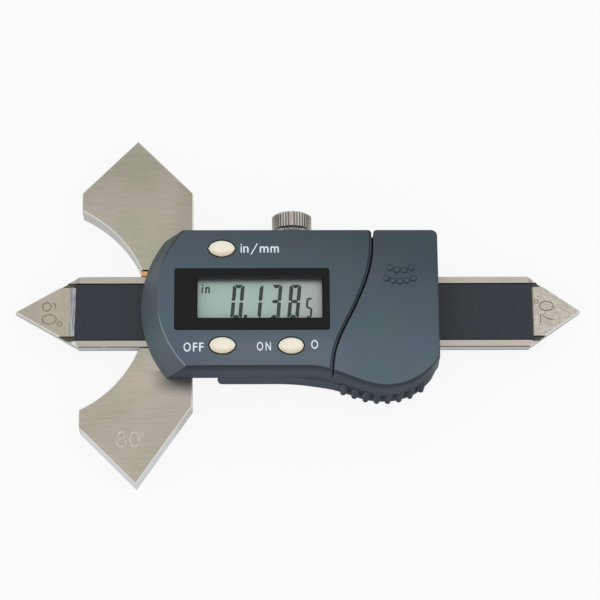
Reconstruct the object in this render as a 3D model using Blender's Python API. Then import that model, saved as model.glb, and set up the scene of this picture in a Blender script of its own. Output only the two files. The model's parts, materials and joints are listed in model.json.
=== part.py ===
# Digital weld angle gauge: a steel cross with two angled wings, a double-pointed measuring
# beam that slides through it, and a plastic housing with the display on the front.
# The gauge lies on its back, display up.  Sizes are in millimetres and become metres in loft().
# The datum is on the beam's centre line and front face, under the tip of the 90 degree wing.

import math

import bmesh
import bpy
from mathutils import Matrix, Vector

MM = 0.001
FIT = 0.2                      # gap between two pieces that seat on each other
EDGE = 0.15                    # chamfer along the edges of the steel
THROUGH = 5.0                  # how far a cutter runs past what it cuts

# Measuring beam
BEAM_WIDTH = 16.0
BEAM_THICK = 3.0
TIP_60_X = -26.3
TIP_70_X = 97.0
RAIL_WIDTH = 1.5
GROOVE_WIDTH = 1.0
GROOVE_DEPTH = 0.9
STRIP_LEFT = -13.45
STRIP_RIGHT = 86.5
STRIP_TOP = -0.1
STRIP_THICK = 0.4
RAIL_END_DROP = 0.45           # the rails are eased down before each point
RAIL_ENDS = (                  # side, direction, X at the groove, X at the outer edge, length
    (1, -1, -12.4, -12.4, 1.1),
    (-1, -1, -13.6, -12.3, 0.8),
    (1, 1, 85.95, 85.6, 0.9),
    (-1, 1, 86.15, 86.15, 0.4),
)

# Cross frame: wings of full thickness, slider body behind the housing
FRAME_THICK = 6.6
WING_HALF = 12.2
APEX_90 = (0.0, 39.5)
APEX_80 = (0.2, -38.2)
HOLLOW_TOP = {"centre": (-24.1, -1.5), "radius": 27.45}
HOLLOW_LOW = {"centre": (-23.0, 1.04), "radius": 25.37}
SLIDER_RIGHT = 60.0
SLIDER_TOP = 13.0
SLIDER_LOW = -11.5
CHANNEL_TOP = 9.6
CHANNEL_LOW = -8.2
CHANNEL_FLOOR = -3.2
GIB_LEFT = 0.9
GIB_TOP = -0.25
GIB_CHAMFER = 0.1

# Housing
FACE_Z = 9.2
BASE_Z = 0.2
DRAFT = 0.25
FACE_TOP = 15.8
FACE_LOW = -14.7
FACE_RIGHT = 65.25
CORNER_RADIUS = 1.3
NOSE_Y = 0.8
NOSE_BASE = {"centre": 26.0, "radius": 25.0}
NOSE_FACE = {"centre": 26.85, "radius": 22.25}
GRIP_CENTRE = (53.62, -5.27)
GRIP_RADIUS = 13.74
GRIP_START_X = 37.3
GRIP_CREST_X = 54.0
WALL = 1.3
CEILING_Z = 7.4
RIM_CHAMFER = 0.3
TIER_LEFT = 17.6
TIER_BOTTOM = -5.0
TIER_CORNER = 1.0
TIER_STEPS = 40
TIER_LINE = (                  # X and Y along its lower edge, which leaves the wall before the grip
    (20.0, -15.03), (31.0, -15.03), (35.3, -15.25), (39.2, -15.75), (42.7, -16.36), (45.8, -17.30),
    (48.4, -18.20), (51.0, -18.86), (53.8, -19.05), (56.4, -18.82), (59.0, -18.10), (61.1, -17.10),
    (62.9, -15.62), (64.4, -13.95), (65.2, -12.40), (65.4, -10.50),
)
RIB_FIRST_X = 45.0
RIB_PITCH = 2.42
RIB_COUNT = 8
RIB_RADIUS = 0.68
RIB_SINK = 0.1                 # how far a rib's axis lies inside the tier's lower edge
RIB_TOP = 1.95
FLUTE_RADIUS = 0.5             # hollow between two ribs
FLUTE_TOP = 1.2
FLUTE_BOTTOM = -2.6

# Battery cover and what is under it
DECK_Z = 3.3
DECK_UNDER = 1.6
COVER_BOTTOM = 3.5
COVER_WALL = 1.1
COVER_ROOF = 8.3
SEAM_MID = (46.8, -2.4)
SEAM_SWING = 4.4
SEAM_REACH_UP = 15.0
SEAM_REACH_DOWN = 13.0
SEAM_GAP = 0.38
SEAM_STEPS = 20
SEAM_CORNER = 0.8              # rounding of both pieces where the seam meets the upper edge
BEAD = (0.62, 0.76)            # groove beside the seam, measured from the middle of the gap
BEAD_DEPTH = 0.3
RAIL_WEB = 0.7                 # battery cover's rails and tongues
RAIL_LIP = 0.6
RAIL_TOP = 5.4
RAIL_LIP_UNDER = 4.7
RAIL_TOP_Y = 12.9
RAIL_LOW_Y = -10.8
TONGUE_UNDER = 3.7
TONGUE_TOP = 4.4
TONGUE_TOP_Y = 13.9
TONGUE_LOW_Y = -13.4
TONGUE_WEB = 0.8
CELL_CENTRE = (56.3, 0.5)
CELL_RADIUS = 5.8
CELL_BOTTOM = 2.6
CELL_HEIGHT = 5.4
RING_INNER = 6.1
RING_OUTER = 7.2
RING_TOP = 7.6
RING_SLOT = 2.2                # half the width of the gap in the ring for the plus contact
CONTACT_THICK = 0.25
DOT_RADIUS = 0.65
DOT_WALL = 0.18
DOT_HEIGHT = 0.45
DOT_ROWS = (
    ((54.87, 7.10), (56.35, 6.60), (57.95, 6.60), (59.50, 7.10)),
    ((54.00, 4.72), (55.42, 4.25), (56.95, 4.08), (58.46, 4.25), (59.92, 4.72)),
)

# Display
BEZEL = (8.65, 41.6, -6.5, 6.9)
BEZEL_OPENING = (13.45, 40.2, -3.9, 4.9)
BEZEL_BOTTOM = 8.25
PANE = (12.9, 40.6, -4.2, 5.2)
PANE_BOTTOM = 7.5
PANE_TOP = 8.05
LCD = (11.0, 42.0, -5.9, 6.7)
LCD_BOTTOM = 5.3
LCD_TOP = 7.2
ZEBRA_WIDTH = 1.2
ZEBRA_LOW = (LCD[2] + 0.4, LCD[3] - 1.6)   # lower edge of each rubber strip
BOARD = (6.0, 62.5, -12.4, 13.8)
BOARD_BOTTOM = 0.6
BOARD_TOP = 1.4
CHIP_CENTRE = (26.5, 0.4)

# Push buttons
BUTTON_TOP = 9.85
BUTTON_RIM = 9.45
BUTTON_FLANGE = (6.5, 7.1)
BUTTON_STEM_BOTTOM = 3.2
BUTTON_CLEAR = 0.3
BUTTON_LEDGE = 0.65            # how far the hidden flange reaches past the cap
BUTTON_POINT = 0.6             # smaller makes a fuller point
BUTTONS = {
    "unit_button": {"centre": (18.63, 11.52), "length": 5.75, "width": 3.5,
                    "left_pointed": True, "right_pointed": True},
    "off_button": {"centre": (18.80, -10.11), "length": 5.6, "width": 3.55,
                   "left_pointed": False, "right_pointed": True},
    "zero_button": {"centre": (33.42, -10.22), "length": 5.5, "width": 3.5,
                    "left_pointed": True, "right_pointed": False},
}

# Screws
LOCK_X = 34.0
LOCK_Z = -2.0
LOCK_HEAD_RADIUS = 4.35
LOCK_HEAD_START = 18.8
LOCK_HEAD_END = 22.6
LOCK_NECK_RADIUS = 1.9
LOCK_NECK_START = 13.6
LOCK_THREAD_RADIUS = 1.2
LOCK_FLUTES = 44
LOCK_FLUTE_FLOOR = 0.94        # share of the head's radius
LOCK_BLANK_FLUTE = 32          # flute that is left out on the side that faces up
GIB_SCREW_X = (22.5, 47.5)
GIB_SCREW_RADIUS = 0.9
HOUSING_SCREWS = ((10.8, 11.3), (10.8, -9.8), (55.8, 11.3), (55.8, -9.8))
SCREW_RADIUS = 0.75
SCREW_HEAD_RADIUS = 1.65
POST_RADIUS = 1.7
POST_HOLE = 0.95


def circle(radius, level, count, centre=(0.0, 0.0), phase=0.0):
    steps = [2 * math.pi * (k + phase) / count for k in range(count)]
    return [(centre[0] + radius * math.cos(a), centre[1] + radius * math.sin(a), level) for a in steps]


def arc(centre, radius, first, last, steps):
    # Points on a circle from one angle to another, both in degrees
    points = []
    for k in range(steps + 1):
        angle = math.radians(first + (last - first) * k / steps)
        points.append((centre[0] + radius * math.cos(angle), centre[1] + radius * math.sin(angle)))
    return points


def at_level(outline, level):
    return [(x, y, level) for x, y in outline]


def offset(outline, distance):
    # Moves a counter-clockwise outline outwards, or inwards with a negative distance
    points = [Vector(point) for point in outline]
    moved = []
    for k, point in enumerate(points):
        before = (point - points[k - 1]).normalized()
        after = (points[(k + 1) % len(points)] - point).normalized()
        normal_in = Vector((before.y, -before.x))
        normal_out = Vector((after.y, -after.x))
        shift = (normal_in + normal_out) * distance / (1 + normal_in.dot(normal_out))
        moved.append(tuple(point + shift))
    return moved


def rectangle(left, right, low, high, radius=0.0, steps=4):
    if radius == 0.0:
        return [(left, low), (right, low), (right, high), (left, high)]
    points = arc((left + radius, low + radius), radius, 180, 270, steps)
    points += arc((right - radius, low + radius), radius, 270, 360, steps)
    points += arc((right - radius, high - radius), radius, 0, 90, steps)
    points += arc((left + radius, high - radius), radius, 90, 180, steps)
    return points


def loft(rings):
    # Closed solid through rings of equally many points, capped at both ends
    mesh = bmesh.new()
    loops = [[mesh.verts.new([value * MM for value in point]) for point in ring] for ring in rings]
    count = len(rings[0])
    for lower, upper in zip(loops, loops[1:]):
        for k in range(count):
            following = (k + 1) % count
            mesh.faces.new((lower[k], lower[following], upper[following], upper[k]))
    mesh.faces.new(list(reversed(loops[0])))
    mesh.faces.new(loops[-1])
    bmesh.ops.recalc_face_normals(mesh, faces=mesh.faces)
    return mesh


def prism(outline, bottom, top):
    return loft([at_level(outline, bottom), at_level(outline, top)])


def chamfered_prism(outline, bottom, top, chamfer):
    inner = offset(outline, -chamfer)
    return loft([
        at_level(inner, bottom),
        at_level(outline, bottom + chamfer),
        at_level(outline, top - chamfer),
        at_level(inner, top),
    ])


def turned(profile, count, centre=(0.0, 0.0)):
    # Revolves (radius, height) pairs about a vertical axis
    return loft([circle(radius, level, count, centre) for radius, level in profile])


def along_y(mesh, x, y, z):
    # Lays a solid that was turned about +Z along +Y and moves its foot to a place
    move = Matrix.Translation(Vector((x, y, z)) * MM)
    bmesh.ops.transform(mesh, matrix=move @ Matrix.Rotation(math.radians(-90), 4, "X"), verts=mesh.verts)
    return mesh


def solid(name, mesh):
    data = bpy.data.meshes.new(name)
    mesh.to_mesh(data)
    mesh.free()
    piece = bpy.data.objects.new(name, data)
    bpy.context.scene.collection.objects.link(piece)
    return piece


def combine(piece, operation, mesh):
    # Adds, cuts or intersects one solid with another and keeps the result as the piece's mesh
    tool = solid("tool", mesh)
    step = piece.modifiers.new("step", "BOOLEAN")
    step.operation = operation
    step.solver = "EXACT"
    step.object = tool
    bpy.context.view_layer.update()
    evaluated = piece.evaluated_get(bpy.context.evaluated_depsgraph_get())
    result = bpy.data.meshes.new_from_object(evaluated)
    piece.modifiers.clear()
    former = piece.data
    piece.data = result
    result.name = piece.name
    bpy.data.meshes.remove(former)
    shape = tool.data
    bpy.data.objects.remove(tool)
    bpy.data.meshes.remove(shape)


def cut(piece, mesh):
    combine(piece, "DIFFERENCE", mesh)


def add(piece, mesh):
    combine(piece, "UNION", mesh)


def make_material(name, colour, roughness, metallic=0.0):
    material = bpy.data.materials.new(name)
    material.use_nodes = True
    shader = material.node_tree.nodes["Principled BSDF"]
    shader.inputs["Base Color"].default_value = (*colour, 1.0)
    shader.inputs["Roughness"].default_value = roughness
    shader.inputs["Metallic"].default_value = metallic
    material.diffuse_color = (*colour, 1.0)
    return material


def finish_piece(piece, material, datum, smooth=False):
    piece.data.materials.clear()
    piece.data.materials.append(material)
    for polygon in piece.data.polygons:
        polygon.material_index = 0
    if smooth:
        piece.data.shade_smooth()
        piece.data.set_sharp_from_angle(angle=math.radians(30))
    piece.parent = datum
    return piece


def beam_outline():
    half = BEAM_WIDTH / 2
    left = TIP_60_X + half / math.tan(math.radians(60 / 2))
    right = TIP_70_X - half / math.tan(math.radians(70 / 2))
    return [(TIP_60_X, 0), (left, -half), (right, -half), (TIP_70_X, 0), (right, half), (left, half)]


def make_beam():
    beam = solid("beam", chamfered_prism(beam_outline(), -BEAM_THICK, 0, EDGE))
    rail_inner = BEAM_WIDTH / 2 - RAIL_WIDTH
    for side in (-1, 1):
        low, high = sorted((side * rail_inner, side * (rail_inner - GROOVE_WIDTH)))
        groove = rectangle(TIP_60_X - THROUGH, TIP_70_X + THROUGH, low, high)
        cut(beam, prism(groove, -GROOVE_DEPTH, THROUGH))
    pocket_half = rail_inner - FIT / 2
    pocket = rectangle(STRIP_LEFT - FIT, STRIP_RIGHT + FIT, -pocket_half, pocket_half)
    cut(beam, prism(pocket, STRIP_TOP - STRIP_THICK - FIT, THROUGH))
    for side, direction, groove_x, outer_x, length in RAIL_ENDS:
        cut(beam, rail_end(side, direction, groove_x, outer_x, length))
    return beam


def rail_end(side, direction, groove_x, outer_x, length):
    # What is taken off a rail before a point: a slope along X, then a low step to the point
    inner = BEAM_WIDTH / 2 - RAIL_WIDTH
    rings = []
    for y, x in ((inner - GROOVE_WIDTH / 2, groove_x), (BEAM_WIDTH / 2 + 1, outer_x)):
        foot = x + direction * length
        far = x + direction * BEAM_WIDTH
        profile = [(x, 0), (foot, -RAIL_END_DROP), (far, -RAIL_END_DROP), (far, THROUGH), (x, THROUGH)]
        rings.append([(px, side * y, z) for px, z in profile])
    return loft(rings)


def make_scale_strip():
    half = BEAM_WIDTH / 2 - RAIL_WIDTH - FIT
    outline = rectangle(STRIP_LEFT, STRIP_RIGHT, -half, half)
    return solid("scale_strip", prism(outline, STRIP_TOP - STRIP_THICK, STRIP_TOP))


def hollow_angle(hollow, x):
    return math.degrees(math.acos((x - hollow["centre"][0]) / hollow["radius"]))


def hollow_angle_at_y(hollow, y):
    return math.degrees(math.asin((y - hollow["centre"][1]) / hollow["radius"]))


def frame_outline():
    # Counter-clockwise from the tip of the 80 degree wing: one side of it leans 35 degrees
    # and the other 45, and both sides of the 90 degree wing lean 45
    lean_35 = math.tan(math.radians(35))
    low_right = (WING_HALF, APEX_80[1] + (WING_HALF - APEX_80[0]) / lean_35)
    low_left = (-WING_HALF, APEX_80[1] + APEX_80[0] + WING_HALF)
    top_side = APEX_90[1] - WING_HALF
    points = [APEX_80, low_right, (WING_HALF, SLIDER_LOW), (SLIDER_RIGHT, SLIDER_LOW)]
    points += [(SLIDER_RIGHT, SLIDER_TOP), (WING_HALF, SLIDER_TOP), (WING_HALF, top_side), APEX_90]
    points += [(-WING_HALF, top_side)]
    foot = hollow_angle(HOLLOW_TOP, -WING_HALF)
    root = hollow_angle_at_y(HOLLOW_TOP, BEAM_WIDTH / 2)
    points += arc(HOLLOW_TOP["centre"], HOLLOW_TOP["radius"], foot, root, 14)
    foot = -hollow_angle(HOLLOW_LOW, -WING_HALF)
    root = hollow_angle_at_y(HOLLOW_LOW, -BEAM_WIDTH / 2)
    points += arc(HOLLOW_LOW["centre"], HOLLOW_LOW["radius"], root, foot, 14)
    points += [low_left]
    return points


def make_cross_frame():
    frame = solid("cross_frame", chamfered_prism(frame_outline(), -FRAME_THICK, 0, EDGE))
    channel = rectangle(-WING_HALF * 2, SLIDER_RIGHT + THROUGH, CHANNEL_LOW, CHANNEL_TOP)
    cut(frame, prism(channel, CHANNEL_FLOOR, THROUGH))
    back = -FRAME_THICK - 1
    hole = SCREW_RADIUS + 0.3
    sink = SCREW_HEAD_RADIUS + 0.25
    for centre in HOUSING_SCREWS:
        cut(frame, turned([(hole, back), (hole, 2)], 20, centre))
        cut(frame, turned([(sink, back), (sink, -FRAME_THICK + 1.4)], 24, centre))
    bore = LOCK_THREAD_RADIUS + 0.25
    cut(frame, along_y(turned([(bore, 0), (bore, 8)], 20), LOCK_X, CHANNEL_TOP - 1, LOCK_Z))
    bore = GIB_SCREW_RADIUS + FIT
    for x in GIB_SCREW_X:
        cut(frame, along_y(turned([(bore, 0), (bore, 8)], 16), x, CHANNEL_TOP - 1, LOCK_Z))
    return frame


def make_gib_strip():
    low = BEAM_WIDTH / 2 + FIT
    outline = rectangle(GIB_LEFT, SLIDER_RIGHT - 0.5, low, CHANNEL_TOP - FIT)
    return solid("gib_strip", chamfered_prism(outline, CHANNEL_FLOOR + FIT, GIB_TOP, GIB_CHAMFER))


def make_gib_screw(name, x):
    # Slotted set screw in the slider's top wall, pressing on the gib
    radius = GIB_SCREW_RADIUS
    length = SLIDER_TOP - CHANNEL_TOP + 0.1
    profile = [(radius - 0.3, 0), (radius, 0.3), (radius, length - 0.2), (radius - 0.2, length)]
    screw = solid(name, along_y(turned(profile, 16), x, CHANNEL_TOP, LOCK_Z))
    slot = rectangle(x - 0.15, x + 0.15, SLIDER_TOP - 0.5, SLIDER_TOP + 1)
    cut(screw, prism(slot, LOCK_Z - 2, LOCK_Z + 2))
    return screw


def knurled_outline():
    # Straight flutes around a circle of radius 1; one is left out on the side that faces up
    points = []
    for k in range(LOCK_FLUTES):
        floor = 1.0 if k == LOCK_BLANK_FLUTE else LOCK_FLUTE_FLOOR
        for share, radius in ((0.0, 1.0), (0.5, 1.0), (0.68, floor), (0.82, floor)):
            angle = 2 * math.pi * (k + share) / LOCK_FLUTES
            points.append((radius * math.cos(angle), radius * math.sin(angle)))
    return points


def make_lock_screw():
    # Turned about +Z from its tip, then laid along +Y
    foot = CHANNEL_TOP
    start = LOCK_HEAD_START - foot
    end = LOCK_HEAD_END - foot
    rings = []
    for share, level in ((0.9, start), (1.0, start + 0.3), (1.0, end - 0.47), (0.86, end)):
        radius = LOCK_HEAD_RADIUS * share
        rings.append([(x * radius, y * radius, level) for x, y in knurled_outline()])
    screw = solid("lock_screw", loft(rings))
    thread = LOCK_THREAD_RADIUS
    neck = LOCK_NECK_START - foot
    shank = [(thread - 0.3, 0.05), (thread, 0.4), (thread, neck), (LOCK_NECK_RADIUS, neck),
             (LOCK_NECK_RADIUS, start + 0.6)]
    add(screw, turned(shank, 32))
    cut(screw, turned([(1.1, end - 0.35), (1.5, end + 0.5)], 24))
    screw.rotation_euler = (math.radians(-90), 0, 0)
    screw.location = Vector((LOCK_X, foot, LOCK_Z)) * MM
    return screw


def make_housing_screw(name, x, y):
    # Countersunk in the back of the steel, it holds the frame and the board to the housing
    back = -FRAME_THICK + 0.15
    head = SCREW_HEAD_RADIUS
    profile = [(head, back), (head, back + 0.9), (SCREW_RADIUS, back + 1.1),
               (SCREW_RADIUS, 3.6), (0.4, 3.9)]
    screw = solid(name, turned(profile, 20, (x, y)))
    for turn in (0, 90):
        mesh = prism(rectangle(-1.1, 1.1, -0.22, 0.22), back - 1, back + 0.5)
        spin = Matrix.Translation(Vector((x, y, 0)) * MM) @ Matrix.Rotation(math.radians(turn), 4, "Z")
        bmesh.ops.transform(mesh, matrix=spin, verts=mesh.verts)
        cut(screw, mesh)
    return screw


def housing_outline(blend, inset=0.0):
    # Counter-clockwise outline of the housing, from its foot (blend 0) to its face (blend 1)
    draft = DRAFT * (1 - blend)
    centre = NOSE_BASE["centre"] + (NOSE_FACE["centre"] - NOSE_BASE["centre"]) * blend
    radius = NOSE_BASE["radius"] + (NOSE_FACE["radius"] - NOSE_BASE["radius"]) * blend
    top = FACE_TOP + draft
    low = FACE_LOW - draft
    right = FACE_RIGHT + draft
    points = []
    for k in range(11):
        share = k / 10
        x = GRIP_START_X + (GRIP_CREST_X - GRIP_START_X) * share
        crest = GRIP_CENTRE[1] - GRIP_RADIUS - draft
        points.append((x, low + (crest - low) * math.sin(math.pi / 2 * share) ** 2))
    grip = GRIP_RADIUS + draft
    last = -math.degrees(math.acos((right - GRIP_CENTRE[0]) / grip))
    points += arc(GRIP_CENTRE, grip, -86, last, 9)
    corner = max(CORNER_RADIUS, inset + 0.4)
    points += arc((right - corner, top - corner), corner, 0, 90, 5)
    first = 180 - math.degrees(math.asin((top - NOSE_Y) / radius))
    last = 180 + math.degrees(math.asin((NOSE_Y - low) / radius))
    points += arc((centre, NOSE_Y), radius, first, last, 20)
    return offset(points, -inset) if inset else points


def blend_at(level):
    return (level - BASE_Z) / (FACE_Z - BASE_Z)


def housing_body():
    return loft([
        at_level(housing_outline(0), BASE_Z),
        at_level(housing_outline(blend_at(FACE_Z - RIM_CHAMFER)), FACE_Z - RIM_CHAMFER),
        at_level(housing_outline(1, RIM_CHAMFER * 0.8), FACE_Z),
    ])


def inner_space(wall, bottom, top):
    # Room inside the housing that leaves walls of one thickness
    return loft([at_level(housing_outline(blend_at(level), wall), level) for level in (bottom, top)])


def seam_x(y):
    reach = SEAM_REACH_UP if y > SEAM_MID[1] else SEAM_REACH_DOWN
    share = max(-1.0, min(1.0, (y - SEAM_MID[1]) / reach))
    return SEAM_MID[0] + SEAM_SWING * math.sin(share * math.pi / 2)


def seam_line(shift, corner=0.0):
    # Points of the seam from below the housing to above it, moved in X; a corner, to the right
    # or with a minus sign to the left, rounds the line away from the gap at the upper edge
    level = FACE_TOP - abs(corner)
    first = SEAM_MID[1] - SEAM_REACH_DOWN
    points = [(seam_x(first) + shift, first - THROUGH * 2)]
    for k in range(SEAM_STEPS + 1):
        y = first + (level - first) * k / SEAM_STEPS
        points.append((seam_x(y) + shift, y))
    if corner:
        for degrees in (30, 60, 90):
            angle = math.radians(degrees)
            y = level + abs(corner) * math.sin(angle)
            points.append((seam_x(y) + shift + corner * (1 - math.cos(angle)), y))
    points.append((points[-1][0], FACE_TOP + THROUGH))
    return points


def left_of_seam(shift, corner=0.0):
    line = seam_line(shift, corner)
    return [(-20, line[-1][1]), (-20, line[0][1])] + line


def right_of_seam(shift, corner=0.0):
    line = seam_line(shift, corner)
    return [(80, line[0][1]), (80, line[-1][1])] + line[::-1]


def button_outline(button, grow=0.0, steps=8):
    # Each end is either pointed or round (half an ellipse)
    x, y = button["centre"]
    length = button["length"] / 2 + grow
    width = button["width"] / 2 + grow
    points = []
    for sign, first in ((1, 1), (-1, -1)):
        for k in range(2 * steps):
            u = first * (1 - k / steps)
            pointed = button["right_pointed"] if u > 0 else button["left_pointed"]
            v = max(0.0, 1 - u * u) ** (BUTTON_POINT if pointed else 0.5)
            points.append((x + length * u, y + sign * width * v))
    return points


def smooth_height(points, x):
    # Y at some X on a smooth curve through points; the first and last only give it direction
    for first, near, far, last in zip(points, points[1:], points[2:], points[3:]):
        if near[0] <= x <= far[0]:
            width = far[0] - near[0]
            leaving = (far[1] - first[1]) / (far[0] - first[0]) * width
            arriving = (last[1] - near[1]) / (last[0] - near[0]) * width
            share = (x - near[0]) / width
            rise = far[1] - near[1]
            bend = (leaving + arriving - 2 * rise) * share + 3 * rise - 2 * leaving - arriving
            return near[1] + share * (leaving + share * bend)
    return points[0][1]


def tier_outline():
    # Lower tier beside the slider: just proud of the wall above it, with its own curve to the grip
    inner = SLIDER_LOW - 0.3
    low = TIER_LINE[0][1]
    start = TIER_LINE[1][0]
    span = TIER_LINE[-2][0] - start
    points = [(TIER_LEFT, inner)]
    points += arc((TIER_LEFT + TIER_CORNER, low + TIER_CORNER), TIER_CORNER, 180, 270, 4)
    for k in range(TIER_STEPS + 1):
        x = start + span * k / TIER_STEPS
        points.append((x, smooth_height(TIER_LINE, x)))
    return points + [(TIER_LINE[-1][0], inner)]


def add_ribs(housing):
    # Half-round ribs on the thumb grip, with a short hollow between each two
    for k in range(RIB_COUNT - 1):
        x = RIB_FIRST_X + RIB_PITCH * (k + 0.5)
        y = smooth_height(TIER_LINE, x)
        hollow = [(0.2, FLUTE_BOTTOM), (FLUTE_RADIUS, FLUTE_TOP - 1.8), (FLUTE_RADIUS, FLUTE_TOP)]
        cut(housing, turned(hollow, 10, (x, y)))
    for k in range(RIB_COUNT):
        x = RIB_FIRST_X + RIB_PITCH * k
        y = smooth_height(TIER_LINE, x) + RIB_SINK
        rib = [(RIB_RADIUS, TIER_BOTTOM + 0.05), (RIB_RADIUS, RIB_TOP - 0.95),
               (RIB_RADIUS * 0.72, RIB_TOP - 0.35), (RIB_RADIUS * 0.25, RIB_TOP)]
        add(housing, turned(rib, 12, (x, y)))


def make_housing():
    housing = solid("housing", housing_body())
    left_cavity = solid("left_cavity", inner_space(WALL, -1, CEILING_Z))
    combine(left_cavity, "INTERSECT", prism(left_of_seam(-1.2), -2, 20))
    take_out(housing, left_cavity)
    cut(housing, inner_space(WALL + 0.2, -1.2, DECK_UNDER))
    add(housing, prism(tier_outline(), TIER_BOTTOM, BASE_Z + 0.2))
    add_ribs(housing)
    cut_cover_seat(housing)
    cut_face_openings(housing)
    add_screw_posts(housing)
    add_cover_rails(housing)
    add_cell_pocket(housing)
    return housing


def cut_cover_seat(housing):
    # Room for the battery cover down to the deck, and the fine groove that leaves a bead by the seam
    side = -SEAM_GAP / 2
    soft = side - 0.5
    cut(housing, loft([
        at_level(right_of_seam(side, -SEAM_CORNER), DECK_Z),
        at_level(right_of_seam(side, -SEAM_CORNER), FACE_Z - 0.25),
        at_level(right_of_seam(soft, -SEAM_CORNER), FACE_Z),
        at_level(right_of_seam(soft, -SEAM_CORNER), FACE_Z + 2),
    ]))
    near, far = [seam_line(-distance, -SEAM_CORNER) for distance in BEAD]
    cut(housing, prism(near + far[::-1], FACE_Z - BEAD_DEPTH, FACE_Z + 1))


def cut_face_openings(housing):
    def seat(box, gap, corner):
        left, right, low, high = box
        return rectangle(left - gap, right + gap, low - gap, high + gap, corner)

    above = FACE_Z + 1
    cut(housing, prism(seat(BEZEL, FIT, 0.6), BEZEL_BOTTOM - FIT, above))
    cut(housing, prism(seat(PANE, FIT, 0.4), CEILING_Z - 1, above))
    for button in BUTTONS.values():
        cut(housing, prism(button_outline(button, BUTTON_CLEAR), CEILING_Z - 1, above))


def unlink(piece):
    # Takes the mesh out of an object and removes the object
    mesh = bmesh.new()
    mesh.from_mesh(piece.data)
    shape = piece.data
    bpy.data.objects.remove(piece)
    bpy.data.meshes.remove(shape)
    return mesh


def take_out(piece, other):
    # Cuts one object with another, which is used up
    cut(piece, unlink(other))


def add_screw_posts(housing):
    for x, y in HOUSING_SCREWS:
        top = CEILING_Z + 0.4 if x < SEAM_MID[0] else DECK_Z + 1.6
        add(housing, turned([(POST_RADIUS, DECK_UNDER + 0.2), (POST_RADIUS, top)], 20, (x, y)))
        cut(housing, turned([(POST_HOLE, -1), (POST_HOLE, DECK_Z + 0.9)], 16, (x, y)))


def rail_profile(web_y, side):
    # Upright web with a lip on its outer side, in the Y-Z plane
    foot = DECK_Z - 0.3
    outer = web_y + side * RAIL_WEB
    lip = outer + side * RAIL_LIP
    return [(web_y, foot), (web_y, RAIL_TOP), (lip, RAIL_TOP), (lip, RAIL_LIP_UNDER),
            (outer, RAIL_LIP_UNDER), (outer, foot)]


def extrude_x(profile, left, right):
    # Sweeps a profile given in Y and Z along X
    return loft([[(x, y, z) for y, z in profile] for x in (left, right)])


def add_cover_rails(housing):
    add(housing, extrude_x(rail_profile(RAIL_TOP_Y, 1), 52.0, 62.5))
    add(housing, extrude_x(rail_profile(RAIL_LOW_Y, -1), 45.5, 62.5))


def add_cell_pocket(housing):
    # Round wall that keeps the button cell in place, open where the plus contact stands
    x, y = CELL_CENTRE
    above = FACE_Z + 3
    wall = [(RING_OUTER, DECK_Z - 0.4), (RING_OUTER, RING_TOP)]
    ring = solid("ring", turned(wall, 48, CELL_CENTRE))
    cut(ring, turned([(RING_INNER, 0), (RING_INNER, above)], 48, CELL_CENTRE))
    cut(ring, prism(rectangle(x + 2, x + 9, y - RING_SLOT, y + RING_SLOT), 0, above))
    add(housing, unlink(ring))
    cut(housing, turned([(RING_INNER, CELL_BOTTOM - 0.5), (RING_INNER, above)], 48, CELL_CENTRE))


def cover_body():
    # The housing's shape to the right of the seam, with a slightly broken edge along it
    cover = solid("battery_cover", housing_body())
    side = SEAM_GAP / 2
    combine(cover, "INTERSECT", loft([
        at_level(right_of_seam(side, SEAM_CORNER), COVER_BOTTOM),
        at_level(right_of_seam(side, SEAM_CORNER), FACE_Z - EDGE),
        at_level(right_of_seam(side + EDGE, SEAM_CORNER), FACE_Z),
        at_level(right_of_seam(side + EDGE, SEAM_CORNER), FACE_Z + 3),
    ]))
    return cover


def make_battery_cover():
    cover = cover_body()
    wall = FACE_TOP - COVER_WALL
    right = FACE_RIGHT - COVER_WALL / 2
    hollow = solid("hollow", inner_space(COVER_WALL, 0, COVER_ROOF))
    add(hollow, prism(rectangle(30, 54, TONGUE_LOW_Y - 0.3, wall), 0, COVER_ROOF))
    take_out(cover, hollow)
    tongue = rectangle(TONGUE_TOP_Y, wall + 0.3, TONGUE_UNDER, TONGUE_TOP)
    add(cover, extrude_x(tongue, 52.5, right - 3))
    web = TONGUE_LOW_Y
    roof = COVER_ROOF + 0.3
    hook = [(web, roof), (web, TONGUE_UNDER), (web + 1.6, TONGUE_UNDER), (web + 1.6, TONGUE_TOP),
            (web + TONGUE_WEB, TONGUE_TOP), (web + TONGUE_WEB, roof)]
    add(cover, extrude_x(hook, 45.5, right))
    dot = [(DOT_RADIUS, FACE_Z - 0.3), (DOT_RADIUS, FACE_Z + DOT_WALL),
           (DOT_RADIUS * 0.77, FACE_Z + DOT_HEIGHT * 0.8), (DOT_RADIUS * 0.34, FACE_Z + DOT_HEIGHT)]
    for row in DOT_ROWS:
        for centre in row:
            add(cover, turned(dot, 14, centre))
    return cover


def make_window_bezel():
    bezel = solid("window_bezel", prism(rectangle(*BEZEL, 0.5), BEZEL_BOTTOM, FACE_Z + 0.05))
    narrow = rectangle(*BEZEL_OPENING, 0.3)
    cut(bezel, loft([
        at_level(narrow, BEZEL_BOTTOM - 1),
        at_level(narrow, FACE_Z - 0.35),
        at_level(offset(narrow, 0.6), FACE_Z + 0.25),
    ]))
    return bezel


def make_display_window():
    return solid("display_window", prism(rectangle(*PANE, 0.3), PANE_BOTTOM, PANE_TOP))


def make_lcd_panel():
    # Two glasses: the front one is shorter, so the contact ledge of the rear one shows below it
    left, right, low, high = LCD
    ledge = 1.4
    panel = solid("lcd_panel", prism(rectangle(*LCD), LCD_BOTTOM, LCD_BOTTOM + 1.0))
    add(panel, prism(rectangle(left, right, low + 0.01, high - ledge), LCD_BOTTOM + 0.5, LCD_TOP))
    return panel


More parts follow.
